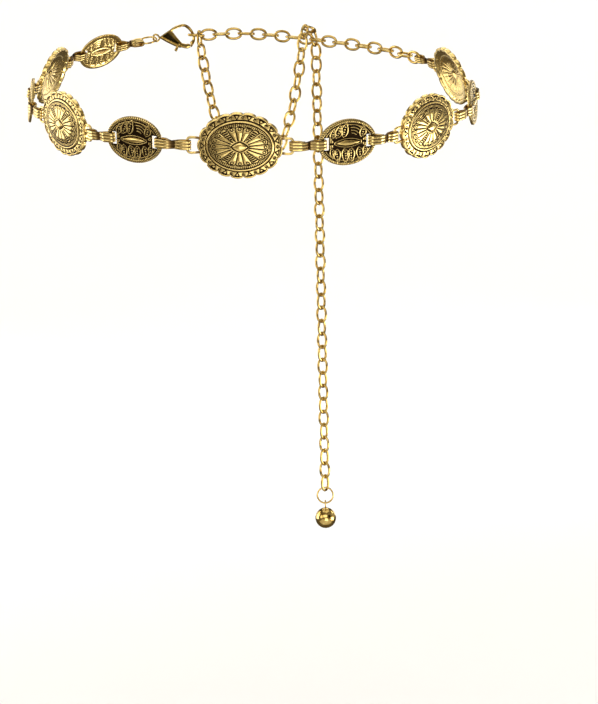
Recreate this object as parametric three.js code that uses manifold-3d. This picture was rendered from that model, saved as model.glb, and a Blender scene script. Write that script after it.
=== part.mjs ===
// Gold-tone concho chain belt, worn as a closed loop.
// Millimetres, +Z up. The front of the belt faces -Y and the origin is the middle of the waist loop.
//
// Five large and five small stamped conchos are joined by ribbed hooks. The last small concho carries the
// lobster clasp, the last large one carries the chain. The clasp hooks the chain's first waist link; what is
// left of the chain hangs as a swag, goes over the waist chain once and falls to a ring and a ball.
import * as THREE from 'three';
import { mergeVertices } from 'three/addons/utils/BufferGeometryUtils.js';
import Module from 'manifold-3d';

const wasm = await Module();
wasm.setup();

const rad = THREE.MathUtils.degToRad;
const vec = (x, y, z) => new THREE.Vector3(x, y, z);
const UP = vec(0, 0, 1);
const TURN = 2 * Math.PI;

// ---------------------------------------------------------------- driving dimensions

// the worn loop: its plane dips towards the front and a little towards +X
const LOOP = { tilt: rad(22), roll: rad(2.3), halfDepth: 122 };
// large concho: a hollow, domed oval with a scalloped rim and a wire lug at each end
const LARGE = { halfLength: 22.5, halfHeight: 17.6, lobes: 17, scallop: 0.065, barReach: 28.0 };
const LUG = { wire: 1.3, halfHeight: 4.6, root: 20.5 };
// small concho: a flat oval pierced by a slot at each end, with a lens-shaped boss
const SMALL = { halfLength: 16.5, halfHeight: 12.5, slotReach: 12.0, slotFrom: 10.7, slotTo: 13.4, slotHeight: 6.8 };
const LENS = { halfLength: 6.2, halfHeight: 1.7, foot: 0.6, crest: 2.2, steps: 6 };
// ribbed strip hook: one loop round a lug's bar, the other through a slot
const HOOK = { reach: 17.6, width: 5.5, narrow: 2.3, strip: 0.75, barRadius: 2.05, barCentre: -0.3, barHoleTo: 4.4,
  slotRadius: 2.5, slotHoleFrom: 9.6, end: 17.7, neckAt: 7.3, neckHalf: 0.95, neckLength: 1.6, bend: 0.95 };
// chain of oval wire links: neighbours in one run touch at a pitch above `touching`, runs stay apart at `loose`
const LINK = { wire: 0.625, halfLength: 4.855, halfWidth: 3.63, bends: 8, sides: 4, loose: 7.8, onBar: 3.0 };
// lobster clasp, drawn from the eye (0, 0) towards its nose; `opening` is the lever's travel in degrees
const CLASP = { heading: 29, rise: 6.7, thickness: 4.0, nose: 2.0, taperFrom: 17, length: 28.3,
  eyeRadius: 2.75, eyeHole: 1.65, eyeThickness: 1.4, pocket: 2.6, lever: 1.9, pivot: [15.2, -5.3], pinRadius: 0.7,
  holeRadius: 1.08, hubRadius: 1.8, firstLink: 29.4 };
// the tail's end
const END_RING = { radius: 5.3, wire: 0.55, hang: 3.15 };
const BALL = { radius: 7.0, meridians: 20, parallels: 14, drop: 10.1, eyeHalfHeight: 2.4, eyeHalfWidth: 1.6,
  eyeWire: 0.45, eyeDrop: 0.74 };

// the ten conchos from the clasp's end round the front to the chain's end:
// heading of the piece in the loop's plane and its outward lean in degrees, rise above that plane in mm
const CONCHOS = [
  { name: 'concho_small_1', large: false, heading: -137.4, rise: -0.7, lean: -22 },
  { name: 'concho_large_1', large: true, heading: -101.9, rise: -3.7, lean: -16 },
  { name: 'concho_small_2', large: false, heading: -79.6, rise: -3.6, lean: -9 },
  { name: 'concho_large_2', large: true, heading: -51.6, rise: -2.4, lean: -1 },
  { name: 'concho_small_3', large: false, heading: -23.2, rise: 0.6, lean: -2 },
  { name: 'concho_large_3', large: true, heading: -1.4, rise: 1.3, lean: -4 },
  { name: 'concho_small_4', large: false, heading: 22.0, rise: 2.1, lean: -2 },
  { name: 'concho_large_4', large: true, heading: 47.4, rise: 1.4, lean: -2 },
  { name: 'concho_small_5', large: false, heading: 77.6, rise: 1.7, lean: -9 },
  { name: 'concho_large_5', large: true, heading: 109.1, rise: 2.6, lean: -16 },
];
const FRONT_CONCHO = 5;
// mean distance of neighbouring conchos' middles
const CONCHO_SPACING = 56.5;

// ---------------------------------------------------------------- materials

const metal = (color, roughness) => new THREE.MeshStandardMaterial({ color, roughness, metalness: 1 });
const ANTIQUE_GOLD = metal(0xb8964c, 0.35);
const BRIGHT_GOLD = metal(0xe0bd6a, 0.18);

// ---------------------------------------------------------------- solids from geometry and back

function orient(positions, triangles) {
  let volume = 0;
  const corner = (i) => vec().fromArray(positions, 3 * i);
  for (let i = 0; i < triangles.length; i += 3) {
    const [a, b, c] = [corner(triangles[i]), corner(triangles[i + 1]), corner(triangles[i + 2])];
    volume += a.dot(b.cross(c));
  }
  if (volume > 0) return triangles;
  return triangles.map((v, i) => (i % 3 === 0 ? v : triangles[i + (i % 3 === 1 ? 1 : -1)]));
}

function solid(positions, triangles) {
  const mesh = new wasm.Mesh({
    numProp: 3,
    vertProperties: new Float32Array(positions),
    triVerts: new Uint32Array(orient(positions, triangles)),
  });
  return new wasm.Manifold(mesh);
}

function solidOf(geometry) {
  geometry.deleteAttribute('normal');
  geometry.deleteAttribute('uv');
  const merged = mergeVertices(geometry, 1e-4);
  return solid(Array.from(merged.attributes.position.array), Array.from(merged.index.array));
}

function geometryOf(manifold) {
  const mesh = manifold.getMesh();
  const geometry = new THREE.BufferGeometry();
  geometry.setAttribute('position', new THREE.BufferAttribute(new Float32Array(mesh.vertProperties), 3));
  geometry.setIndex(Array.from(mesh.triVerts));
  return geometry;
}

// a flat outline from a table of points, turned anticlockwise
function planar(table) {
  const points = table.map(([x, y]) => new THREE.Vector2(x, y));
  return new THREE.Shape(THREE.ShapeUtils.isClockWise(points) ? points.reverse() : points);
}

const joined = (solids) => solids.reduce((sum, next) => sum.add(next));
const moved = (manifold, matrix) => manifold.transform(matrix.toArray());
const axes = (x, y, z, at) => new THREE.Matrix4().makeBasis(x, y, z).setPosition(at);

// A skin over a row of rings, each a list of points in order of angle. A ring of one point is a pole.
// Neighbouring rings may have different counts: triangles step along whichever ring lags behind.
function skin(rings) {
  const starts = [];
  const positions = [];
  for (const ring of rings) {
    starts.push(positions.length / 3);
    for (const p of ring) positions.push(p.x, p.y, p.z);
  }
  const triangles = [];
  for (let r = 0; r + 1 < rings.length; r++) {
    const [n, m] = [rings[r].length, rings[r + 1].length];
    const at = (i) => starts[r] + (i % n);
    const to = (j) => starts[r + 1] + (j % m);
    let [i, j] = [0, 0];
    const [stepsA, stepsB] = [n > 1 ? n : 0, m > 1 ? m : 0];
    while (i < stepsA || j < stepsB) {
      const aheadA = stepsA ? (i + 1) / stepsA : 2;
      const aheadB = stepsB ? (j + 1) / stepsB : 2;
      if (j >= stepsB || (i < stepsA && aheadA < aheadB)) {
        triangles.push(at(i), at(i + 1), to(j));
        i++;
      } else {
        triangles.push(at(i), to(j + 1), to(j));
        j++;
      }
    }
  }
  return solid(positions, triangles);
}

// A closed wire: its centre line `path(t)` and the two directions across it, t from 0 to 1.
function wireLoop(path, bends, sides, radius) {
  const positions = [];
  const triangles = [];
  const flat = radius / Math.cos(Math.PI / sides) ** 0.5;
  for (let i = 0; i < bends; i++) {
    const { centre, out, side } = path(i / bends);
    for (let k = 0; k < sides; k++) {
      const a = (TURN * k) / sides;
      const p = centre.clone().addScaledVector(out, flat * Math.cos(a)).addScaledVector(side, flat * Math.sin(a));
      positions.push(p.x, p.y, p.z);
    }
  }
  const at = (i, k) => (i % bends) * sides + (k % sides);
  for (let i = 0; i < bends; i++) {
    for (let k = 0; k < sides; k++) {
      triangles.push(at(i, k), at(i + 1, k), at(i + 1, k + 1), at(i, k), at(i + 1, k + 1), at(i, k + 1));
    }
  }
  return solid(positions, triangles);
}

// An oval ring of wire lying in its own XY plane, long side along X.
function ovalWire(halfLength, halfWidth, radius, bends, sides) {
  return wireLoop((t) => {
    const a = TURN * (t + 0.5 / bends);
    const out = vec(Math.cos(a) / halfLength, Math.sin(a) / halfWidth, 0).normalize();
    return { centre: vec(halfLength * Math.cos(a), halfWidth * Math.sin(a), 0), out, side: UP.clone() };
  }, bends, sides, radius);
}

function extruded(shape, depth, curveSegments) {
  const geometry = new THREE.ExtrudeGeometry(shape, { depth, bevelEnabled: false, curveSegments });
  return solidOf(geometry).translate([0, 0, -depth / 2]);
}

// ---------------------------------------------------------------- conchos
// In a concho's own frame +X runs along the belt, +Z up and -Y is its face.

// parametric angle for an even step round an oval, so that lobes are equally long
const ovalAngle = (turn) => TURN * turn + 0.061 * Math.sin(2 * TURN * turn);

function ovalRing(size, { reach, out, count }, edge = () => 1) {
  if (count === 1) return [vec(0, -out, 0)];
  return Array.from({ length: count }, (_, i) => {
    const a = ovalAngle(i / count);
    const r = reach * edge(i / count);
    return vec(size.halfLength * r * Math.cos(a), -out, size.halfHeight * r * Math.sin(a));
  });
}

// reach is a share of the half size, out the height towards the wearer's front, rim marks scalloped rings
const LARGE_PROFILE = [
  { reach: 0, out: 4.9, count: 1 },
  { reach: 0.145, out: 4.8, count: 17 },
  { reach: 0.18, out: 4.1, count: 17 },
  { reach: 0.50, out: 3.4, count: 34 },
  { reach: 0.755, out: 2.1, count: 34 },
  { reach: 0.80, out: 1.4, count: 34 },
  { reach: 1.0, out: 1.0, count: 68, rim: true },
  { reach: 1.0, out: -1.3, count: 68, rim: true },
  { reach: 0.90, out: -1.3, count: 34 },
  { reach: 0.86, out: -0.1, count: 34 },
  { reach: 0.50, out: 1.9, count: 17 },
  { reach: 0, out: 2.9, count: 1 },
];
const SMALL_PROFILE = [
  { reach: 0, out: 1.15, count: 1 },
  { reach: 0.50, out: 0.95, count: 16 },
  { reach: 0.84, out: 0.5, count: 32 },
  { reach: 0.90, out: 0.85, count: 32 },
  { reach: 1.0, out: 0.5, count: 32 },
  { reach: 1.0, out: -0.6, count: 32 },
  { reach: 0.88, out: -0.6, count: 16 },
  { reach: 0, out: -0.1, count: 1 },
];

// a lobe is a shallow round arch; a notch lies at +X and a lobe at -X
function scallopEdge(turn) {
  const across = 2 * ((LARGE.lobes * turn) % 1) - 1;
  return 1 - LARGE.scallop * (1 - Math.sqrt(1 - across * across));
}

function lug(side) {
  const { wire, halfHeight, root } = LUG;
  const arm = LARGE.barReach - root;
  const boxes = [
    new THREE.BoxGeometry(wire, wire, 2 * halfHeight).translate(LARGE.barReach, 0, 0),
    new THREE.BoxGeometry(arm, wire, wire).translate(root + arm / 2, 0, halfHeight - wire / 2),
    new THREE.BoxGeometry(arm, wire, wire).translate(root + arm / 2, 0, wire / 2 - halfHeight),
  ];
  return joined(boxes.map(solidOf)).scale([side, 1, 1]);
}

function largeConcho() {
  const rings = LARGE_PROFILE.map((row) => ovalRing(LARGE, row, row.rim ? scallopEdge : undefined));
  return joined([skin(rings), lug(1), lug(-1)]);
}

// the lens is a boat-shaped ridge, pointed at both ends
function lensBoss() {
  const outline = (height, share) => {
    const half = [];
    for (let i = 0; i < LENS.steps; i++) {
      const a = (Math.PI * i) / LENS.steps;
      half.push(vec(share * LENS.halfLength * Math.cos(a), -height, share * LENS.halfHeight * Math.sin(a) ** 1.2));
    }
    return [...half, ...half.map((p) => vec(-p.x, p.y, -p.z))];
  };
  return skin([[vec(0, -LENS.crest, 0)], outline(LENS.foot + 0.9, 0.6), outline(LENS.foot, 1), [vec(0, -LENS.foot, 0)]]);
}

function smallConcho() {
  const plate = skin(SMALL_PROFILE.map((row) => ovalRing(SMALL, row)));
  const { slotFrom, slotTo, slotHeight } = SMALL;
  const slot = (side) => solidOf(new THREE.BoxGeometry(slotTo - slotFrom, 6, slotHeight)
    .translate((side * (slotFrom + slotTo)) / 2, 0, 0));
  return joined([plate, lensBoss()]).subtract(slot(1)).subtract(slot(-1));
}

// ---------------------------------------------------------------- hooks
// In a hook's own frame the lug's bar is at X 0, the slot at HOOK.reach, and the strip's width runs along Z.

// half a hook: a loop whose far end is round, drawn from the neck, with its long hole
function hookLoop(centreX, radius, holeFrom, holeTo, width) {
  const { neckAt, neckHalf, strip } = HOOK;
  const side = Math.sign(centreX - neckAt);
  const knee = neckAt + side * 2.2;
  const shape = new THREE.Shape();
  shape.moveTo(neckAt, neckHalf);
  shape.lineTo(neckAt, -neckHalf);
  shape.quadraticCurveTo(knee, -radius, centreX, -radius);
  shape.absarc(centreX, 0, radius, -Math.PI / 2, Math.PI / 2, side < 0);
  shape.quadraticCurveTo(knee, radius, neckAt, neckHalf);
  const holeRadius = radius - strip;
  const hole = new THREE.Path();
  hole.absarc(holeTo - holeRadius, 0, holeRadius, -Math.PI / 2, Math.PI / 2, false);
  hole.absarc(holeFrom + holeRadius, 0, holeRadius, Math.PI / 2, 1.5 * Math.PI, false);
  shape.holes.push(hole);
  return extruded(shape, width, 3);
}

// A hook is bent at its neck by `bend` degrees so that both loops lie near their own concho's line.
// `quarter` turns the bar's loop a quarter, `narrowBar` and `narrowSlot` taper the loop that takes a link.
function hook({ bend = 0, quarter = false, narrowBar = false, narrowSlot = false } = {}) {
  const { barRadius, barCentre, barHoleTo, slotRadius, slotHoleFrom, strip, end, neckAt, neckHalf, neckLength } = HOOK;
  const bar = hookLoop(barCentre, barRadius, barCentre - barRadius + strip, barHoleTo, narrowBar ? HOOK.narrow : HOOK.width);
  const slot = hookLoop(end - slotRadius, slotRadius, slotHoleFrom, end - strip, narrowSlot ? HOOK.narrow : HOOK.width);
  const sway = -rad(bend) * neckAt * (1 - neckAt / HOOK.reach);
  const neck = solidOf(new THREE.BoxGeometry(neckLength, 2 * neckHalf, 2 * neckHalf).translate(neckAt, sway, 0));
  const barTurn = -bend * (1 - neckAt / HOOK.reach);
  const slotTurn = (bend * neckAt) / HOOK.reach;
  return joined([
    (quarter ? bar.rotate([90, 0, 0]) : bar).rotate([0, 0, barTurn]),
    neck,
    slot.translate([-HOOK.reach, 0, 0]).rotate([0, 0, slotTurn]).translate([HOOK.reach, 0, 0]),
  ]);
}

// ---------------------------------------------------------------- where the conchos lie

const heading = (degrees) => vec(Math.cos(rad(degrees)), Math.sin(rad(degrees)), 0);
const reachOf = (row) => (row.large ? LARGE.barReach : SMALL.slotReach);

// walks from the front concho both ways, half a concho, a hook and half a concho at a time
function layOut() {
  const centres = [];
  centres[FRONT_CONCHO] = vec(0, -LOOP.halfDepth, 0);
  const step = (from, to, way) => {
    const [a, b] = [CONCHOS[from], CONCHOS[to]];
    const hookHeading = heading((a.heading + b.heading) / 2);
    centres[to] = centres[from].clone().addScaledVector(heading(a.heading), way * reachOf(a))
      .addScaledVector(hookHeading, way * HOOK.reach).addScaledVector(heading(b.heading), way * reachOf(b));
  };
  for (let i = FRONT_CONCHO; i > 0; i--) step(i, i - 1, -1);
  for (let i = FRONT_CONCHO; i < CONCHOS.length - 1; i++) step(i, i + 1, 1);
  centres.forEach((centre, i) => centre.setZ(CONCHOS[i].rise));
  return centres;
}
const CENTRES = layOut();

function conchoFrame(i) {
  const [before, after] = [Math.max(i - 1, 0), Math.min(i + 1, CONCHOS.length - 1)];
  const run = CONCHO_SPACING * (after - before);
  const along = heading(CONCHOS[i].heading).setZ((CONCHOS[after].rise - CONCHOS[before].rise) / run).normalize();
  const outward = vec(along.y, -along.x, 0).normalize();
  const lean = rad(CONCHOS[i].lean);
  const up = outward.clone().cross(along).multiplyScalar(Math.cos(lean)).addScaledVector(outward, Math.sin(lean));
  return { along, up: up.normalize(), inward: up.clone().cross(along).normalize(), centre: CENTRES[i] };
}

const endOf = (i, way) => {
  const { centre, along } = conchoFrame(i);
  return centre.clone().addScaledVector(along, way * reachOf(CONCHOS[i]));
};

const beltFrame = new THREE.Group();
beltFrame.rotation.set(LOOP.tilt, LOOP.roll, 0, 'YXZ');
beltFrame.updateMatrixWorld();
const beltUp = UP.clone().applyQuaternion(beltFrame.quaternion);
const toWorld = (p) => p.clone().applyMatrix4(beltFrame.matrixWorld);

const root = new THREE.Group();
root.add(beltFrame);

function addMesh(parent, name, manifold, material, matrix) {
  const mesh = new THREE.Mesh(geometryOf(manifold), material);
  mesh.name = name;
  if (matrix) matrix.decompose(mesh.position, mesh.quaternion, mesh.scale);
  parent.add(mesh);
  return mesh;
}

const largeSolid = largeConcho();
const smallSolid = smallConcho();
CONCHOS.forEach((row, i) => {
  const { along, inward, up, centre } = conchoFrame(i);
  addMesh(beltFrame, row.name, row.large ? largeSolid : smallSolid, ANTIQUE_GOLD, axes(along, inward, up, centre));
});

// a hook's X runs from a lug's bar to a slot
function hookMatrix(bar, slot, up) {
  const x = slot.clone().sub(bar).normalize();
  const y = up.clone().cross(x).normalize();
  return axes(x, y, x.clone().cross(y), bar);
}
for (let i = 0; i + 1 < CONCHOS.length; i++) {
  const [left, right] = [endOf(i, 1), endOf(i + 1, -1)];
  const up = conchoFrame(i).up.add(conchoFrame(i + 1).up).normalize();
  const [bar, slot] = CONCHOS[i].large ? [left, right] : [right, left];
  const turn = CONCHOS[i + 1].heading - CONCHOS[i].heading;
  const bend = HOOK.bend * turn * (CONCHOS[i].large ? 1 : -1);
  addMesh(beltFrame, `hook_${String(i + 2).padStart(2, '0')}`, hook({ bend }), ANTIQUE_GOLD, hookMatrix(bar, slot, up));
}

// the first hook carries the clasp on a loop turned a quarter, the last one carries the chain on a narrowed loop
const CLASP_HOOK = { heading: 31.5, rise: 1.4, bend: 11 };
const CHAIN_HOOK = { heading: 124, rise: 3, bend: 12 };
function endHook(name, i, way, { heading: degrees, rise, bend }, options) {
  const at = endOf(i, way);
  const far = at.clone().addScaledVector(heading(degrees), HOOK.reach).setZ(rise);
  const [bar, slot] = way < 0 ? [far, at] : [at, far];
  const matrix = hookMatrix(bar, slot, conchoFrame(i).up);
  addMesh(beltFrame, name, hook({ bend, ...options }), ANTIQUE_GOLD, matrix);
  return vec(way < 0 ? 0 : HOOK.end, 0, 0).applyMatrix4(matrix);
}
const claspHookBar = endHook('hook_01', 0, -1, CLASP_HOOK, { quarter: true, narrowBar: true });
const chainHookEnd = endHook('hook_11', CONCHOS.length - 1, 1, CHAIN_HOOK, { narrowSlot: true });

// ---------------------------------------------------------------- chain links and runs

const linkSolid = ovalWire(LINK.halfLength / Math.cos(Math.PI / LINK.bends),
  LINK.halfWidth / Math.cos(Math.PI / LINK.bends), LINK.wire, LINK.bends, LINK.sides);

// a link is its centre, the direction of its long side and the direction across its hole
function placedLink({ centre, along, across }) {
  const x = along.clone().normalize();
  const z = x.clone().cross(across).normalize();
  return moved(linkSolid, axes(x, z.clone().cross(x), z, centre));
}

// Lays links on a curve given by arc length. Every `runLength` links a new run begins, a loose step on.
function linksAlong({ pointAt, length }, { count, first, runLength, lastApart = false, acrossOf }) {
  const steps = Array.from({ length: count + 1 },
    (_, i) => ((i + first) % runLength === 0 || (lastApart && i === count) ? LINK.loose : 0));
  const loose = steps.reduce((a, b) => a + b);
  const tight = (length - loose) / steps.filter((step) => step === 0).length;
  let at = 0;
  return Array.from({ length: count }, (_, i) => {
    at += steps[i] || tight;
    const centre = pointAt(at);
    const along = pointAt(at + LINK.halfLength).sub(pointAt(at - LINK.halfLength)).normalize();
    return { centre, along, across: acrossOf(i, along) };
  });
}

function addRuns(prefix, links, runLength) {
  for (let i = 0, run = 1; i < links.length; i += runLength, run++) {
    addMesh(root, `${prefix}_${run}`, joined(links.slice(i, i + runLength).map(placedLink)), BRIGHT_GOLD);
  }
}

// point at an arc length on a row of points
function polyline(points) {
  const lengths = [0];
  for (let i = 1; i < points.length; i++) lengths.push(lengths[i - 1] + points[i].distanceTo(points[i - 1]));
  const pointAt = (s) => {
    let i = 1;
    while (i < points.length - 1 && lengths[i] < s) i++;
    return points[i - 1].clone().lerp(points[i], (s - lengths[i - 1]) / (lengths[i] - lengths[i - 1]));
  };
  return { pointAt, length: lengths[lengths.length - 1] };
}

// ---------------------------------------------------------------- clasp

const claspAlong = vec(Math.cos(rad(CLASP.heading)) * Math.cos(rad(CLASP.rise)),
  Math.sin(rad(CLASP.heading)) * Math.cos(rad(CLASP.rise)), Math.sin(rad(CLASP.rise)));
const CLASP_EYE = toWorld(vec(-64.6, 105.6, 3));
// drawn in XY, stood up so that the drawing's Y is the clasp's height
const claspMatrix = (() => {
  const depth = claspAlong.clone().cross(UP).normalize();
  return axes(claspAlong, depth.clone().cross(claspAlong), depth, CLASP_EYE);
})();

const CLASP_OUTLINE = [[2.0, -0.9], [2.0, 0.9], [5.1, 1.6], [9.4, 3.9], [15.4, 7.0], [21.3, 7.8], [25.2, 5.5],
  [27.6, 1.5], [28.3, -1.0], [27.2, -4.4], [25.2, -7.6], [20.5, -8.5], [15.4, -7.4], [9.4, -4.4], [5.1, -1.6]];
const CLASP_HOLE = [[11.8, 3.6], [15.4, 5.1], [21.3, 6.1], [25.2, 2.9], [26.6, -0.9], [25.2, -3.8], [20.5, -5.4],
  [18.1, -4.4]];
const LEVER_POCKET = [[11.2, -10], [11.2, -4.6], [13.4, -2.6], [19, -2.6], [19, -10]];
const MOUTH = [[17.4, -10], [17.4, -4.2], [20.5, -5.0], [24.4, -3.9], [24.4, -10]];
const LEVER_ARM = [[15.2, -3.7], [18.4, -4.5], [21.2, -5.3], [23.9, -4.5], [23.6, -7.6], [20.3, -8.4], [15.2, -7.1]];
const LEVER_KNOB = [[14.0, -5.4], [16.4, -6.6], [14.2, -9.3], [12.5, -9.5], [11.9, -8.2]];

const disc = (x, y, radius, depth, sides) =>
  solidOf(new THREE.CylinderGeometry(radius, radius, depth, sides).rotateX(Math.PI / 2)).translate([x, y, 0]);

function claspBody() {
  const { thickness, nose, taperFrom, length, eyeRadius, eyeHole, eyeThickness, pocket, pivot, pinRadius } = CLASP;
  const shape = planar(CLASP_OUTLINE);
  shape.holes.push(planar(CLASP_HOLE));
  const plan = planar([[0, thickness / 2], [taperFrom, thickness / 2], [length + 1, nose / 2],
    [length + 1, -nose / 2], [taperFrom, -thickness / 2], [0, -thickness / 2]]);
  const taper = extruded(plan, 30, 1).rotate([90, 0, 0]);
  const eye = disc(0, 0, eyeRadius, eyeThickness, 14).subtract(disc(0, 0, eyeHole, eyeThickness + 1, 12));
  const body = extruded(shape, thickness, 1).intersect(taper)
    .subtract(extruded(planar(LEVER_POCKET), pocket, 1))
    .subtract(extruded(planar(MOUTH), thickness + 1, 1));
  return joined([body, eye, disc(...pivot, pinRadius, thickness - 0.4, 8)]);
}

function claspLever() {
  const { lever, pivot, hubRadius, holeRadius } = CLASP;
  const pieces = [extruded(planar(LEVER_ARM), lever, 1), disc(...pivot, hubRadius, lever, 12),
    extruded(planar(LEVER_KNOB), lever, 1)];
  return joined(pieces).subtract(disc(...pivot, holeRadius, lever + 1, 10));
}
addMesh(root, 'clasp_body', claspBody(), BRIGHT_GOLD, claspMatrix);
addMesh(root, 'clasp_lever', claspLever(), BRIGHT_GOLD, claspMatrix);

// the jump ring lies flat between the first hook's loop and the clasp's eye
const JUMP_RING = { halfLength: 5.7, halfWidth: 4.5, wire: 0.55, inEye: 0.35 };
const jumpAlong = CLASP_EYE.clone().sub(toWorld(claspHookBar)).normalize();
const jumpCentre = CLASP_EYE.clone().addScaledVector(jumpAlong, -JUMP_RING.halfLength - JUMP_RING.inEye);
const claspHookUp = conchoFrame(0).up.applyQuaternion(beltFrame.quaternion);
const jumpUp = jumpAlong.clone().cross(claspHookUp.add(beltUp)).cross(jumpAlong).normalize();
const jumpSolid = ovalWire(JUMP_RING.halfLength / Math.cos(Math.PI / 12), JUMP_RING.halfWidth, JUMP_RING.wire, 12, 4);
addMesh(root, 'jump_ring', moved(jumpSolid, axes(jumpAlong, jumpUp.clone().cross(jumpAlong), jumpUp, jumpCentre)), BRIGHT_GOLD);

// ---------------------------------------------------------------- waist chain

const RUN = 4;
const FIRST_LINK = CLASP_EYE.clone().addScaledVector(claspAlong, CLASP.firstLink);
const firstLink = { centre: FIRST_LINK, along: heading(26), across: heading(116) };
// points of the waist chain in the loop's own frame
const WAIST_CHAIN = [[-12.1, 122.3], [6, 120.9], [23.5, 115.2], [38.5, 109.5], [51.3, 103.8], [65, 97.3], [78.4, 89.3],
  [90.9, 80.4]];
const lastLinkCentre = toWorld(chainHookEnd.clone().addScaledVector(heading(CHAIN_HOOK.heading), 1.9));
const waistCurve = new THREE.CatmullRomCurve3(
  [FIRST_LINK, ...WAIST_CHAIN.map(([x, y]) => toWorld(vec(x, y, 3))), lastLinkCentre], false, 'centripetal');
const CURVE_STEPS = 400;
const waistPath = polyline(waistCurve.getPoints(CURVE_STEPS));
const WAIST_LINKS = 20;
const middleWaist = linksAlong(waistPath, { count: WAIST_LINKS - 2, first: 1, runLength: RUN,
  acrossOf: (i, along) => (i % 2 === 0 ? UP.clone() : UP.clone().cross(along)) });
const lastLink = {
  centre: lastLinkCentre, along: heading(CHAIN_HOOK.heading).applyQuaternion(beltFrame.quaternion), across: beltUp,
};
const waistLinks = [firstLink, ...middleWaist, lastLink];
addRuns('chain_waist', waistLinks, RUN);

// ---------------------------------------------------------------- where the spare chain goes over the waist chain

// directions over the waist chain at link CROSSED: `over` runs from the front to the back, `beside` along it
const CROSSED = 9;
const OVER_HEADING = 60;
const OVER_OFFSET = 2.5;
const over = heading(OVER_HEADING);
const beside = heading(OVER_HEADING - 90);
const crossing = waistLinks[CROSSED].centre.clone().addScaledVector(beside, OVER_OFFSET);
const overPoint = (s, z) => crossing.clone().addScaledVector(over, s).setZ(crossing.z + z);
// joints of the five links that go over, front to back: distance along `over`, height above the waist chain
const OVER_JOINTS = [
  { s: -9.6, z: -8.6 }, { s: -8.5, z: 0.0 }, { s: -3.2, z: 6.9 }, { s: 5.0, z: 5.0 }, { s: 8.3, z: -3.1 },
  { s: 9.6, z: -11.7 },
];
const overLinks = OVER_JOINTS.slice(1).map((joint, i) => {
  const [a, b] = [overPoint(OVER_JOINTS[i].s, OVER_JOINTS[i].z), overPoint(joint.s, joint.z)];
  const along = b.clone().sub(a).normalize();
  return { centre: a.add(b).multiplyScalar(0.5), along, across: i % 2 === 0 ? beside : along.clone().cross(beside) };
});
addRuns('chain_over', overLinks, overLinks.length);

// ---------------------------------------------------------------- swag

// A hanging curve of a given length between two points, as a row of points.
function hangingCurve(from, to, length, count) {
  const level = vec(to.x - from.x, to.y - from.y, 0);
  const [span, drop] = [level.length(), to.z - from.z];
  const taut = Math.sqrt(length ** 2 - drop ** 2);
  let [low, high] = [span / 40, span * 40];
  for (let i = 0; i < 80; i++) {
    const middle = (low + high) / 2;
    if (2 * middle * Math.sinh(span / (2 * middle)) > taut) low = middle; else high = middle;
  }
  const start = low * Math.atanh(drop / length) - span / 2;
  const height = (x) => low * Math.cosh((start + x) / low);
  return Array.from({ length: count + 1 }, (_, i) => {
    const share = i / count;
    return from.clone().addScaledVector(level, share).setZ(from.z + height(span * share) - height(0));
  });
}

const SWAG = { links: 22, length: 192, onBar: 0.8 };
// the swag's first link hangs on the near side of the chain's first link
const swagFirst = {
  centre: firstLink.centre.clone().addScaledVector(firstLink.across, -LINK.halfWidth)
    .addScaledVector(firstLink.along, SWAG.onBar).add(vec(0, 0, -LINK.onBar)),
  along: vec(0, 0, -1),
  across: firstLink.across,
};
const swagEnd = overLinks[0].centre;
const swagPath = polyline(hangingCurve(swagFirst.centre, swagEnd, SWAG.length, CURVE_STEPS));
const swagPlane = swagEnd.clone().sub(swagFirst.centre).setZ(0).normalize();
const swagLinks = linksAlong(swagPath, { count: SWAG.links, first: 1, runLength: RUN, lastApart: true,
  acrossOf: (i, along) => (i % 2 === 0 ? along.clone().cross(swagPlane.clone().cross(UP)) : UP.clone().cross(swagPlane)) });
addRuns('chain_swag', [swagFirst, ...swagLinks], RUN);

// ---------------------------------------------------------------- tail, ring and ball

// the tail hangs straight down; its first links turn by `turn` degrees until they face the front squarely
const TAIL = { links: 33, pitch: 9.15, turn: 90 - OVER_HEADING, turnLinks: 6 };
const tailTop = overLinks[overLinks.length - 1].centre;
const tailLinks = [];
for (let i = 0, z = tailTop.z; i < TAIL.links; i++) {
  z -= i % RUN === 0 ? LINK.loose : TAIL.pitch;
  const turned = OVER_HEADING + TAIL.turn * Math.min(1, (i + 1) / TAIL.turnLinks);
  tailLinks.push({ centre: tailTop.clone().setZ(z), along: vec(0, 0, -1),
    across: heading(i % 2 === 0 ? turned : turned - 90) });
}
addRuns('chain_tail', tailLinks, RUN);

const tailEnd = tailLinks[tailLinks.length - 1].centre.clone();
const standing = axes(vec(1, 0, 0), vec(0, 0, 1), vec(0, -1, 0), vec(0, 0, 0));
const ringCentre = tailEnd.clone().add(vec(0, 0, -END_RING.hang - END_RING.radius));
addMesh(root, 'end_ring', moved(moved(ovalWire(END_RING.radius, END_RING.radius, END_RING.wire, 20, 6), standing),
  new THREE.Matrix4().setPosition(ringCentre)), BRIGHT_GOLD);
const ringFoot = ringCentre.clone().add(vec(0, 0, -END_RING.radius));
const sphere = solidOf(new THREE.SphereGeometry(BALL.radius, BALL.meridians, BALL.parallels).rotateX(Math.PI / 2)).translate([0, 0, -BALL.drop]);
const eye = ovalWire(BALL.eyeHalfHeight, BALL.eyeHalfWidth, BALL.eyeWire, 12, 4)
  .rotate([0, 90, 0]).translate([0, 0, -BALL.eyeDrop]);
addMesh(root, 'ball', moved(joined([sphere, eye]), new THREE.Matrix4().setPosition(ringFoot)), BRIGHT_GOLD);

export default root;
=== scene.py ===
"""Gold-tone concho chain belt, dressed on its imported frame. Lengths are millimetres until a mesh is made."""
import math

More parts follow.
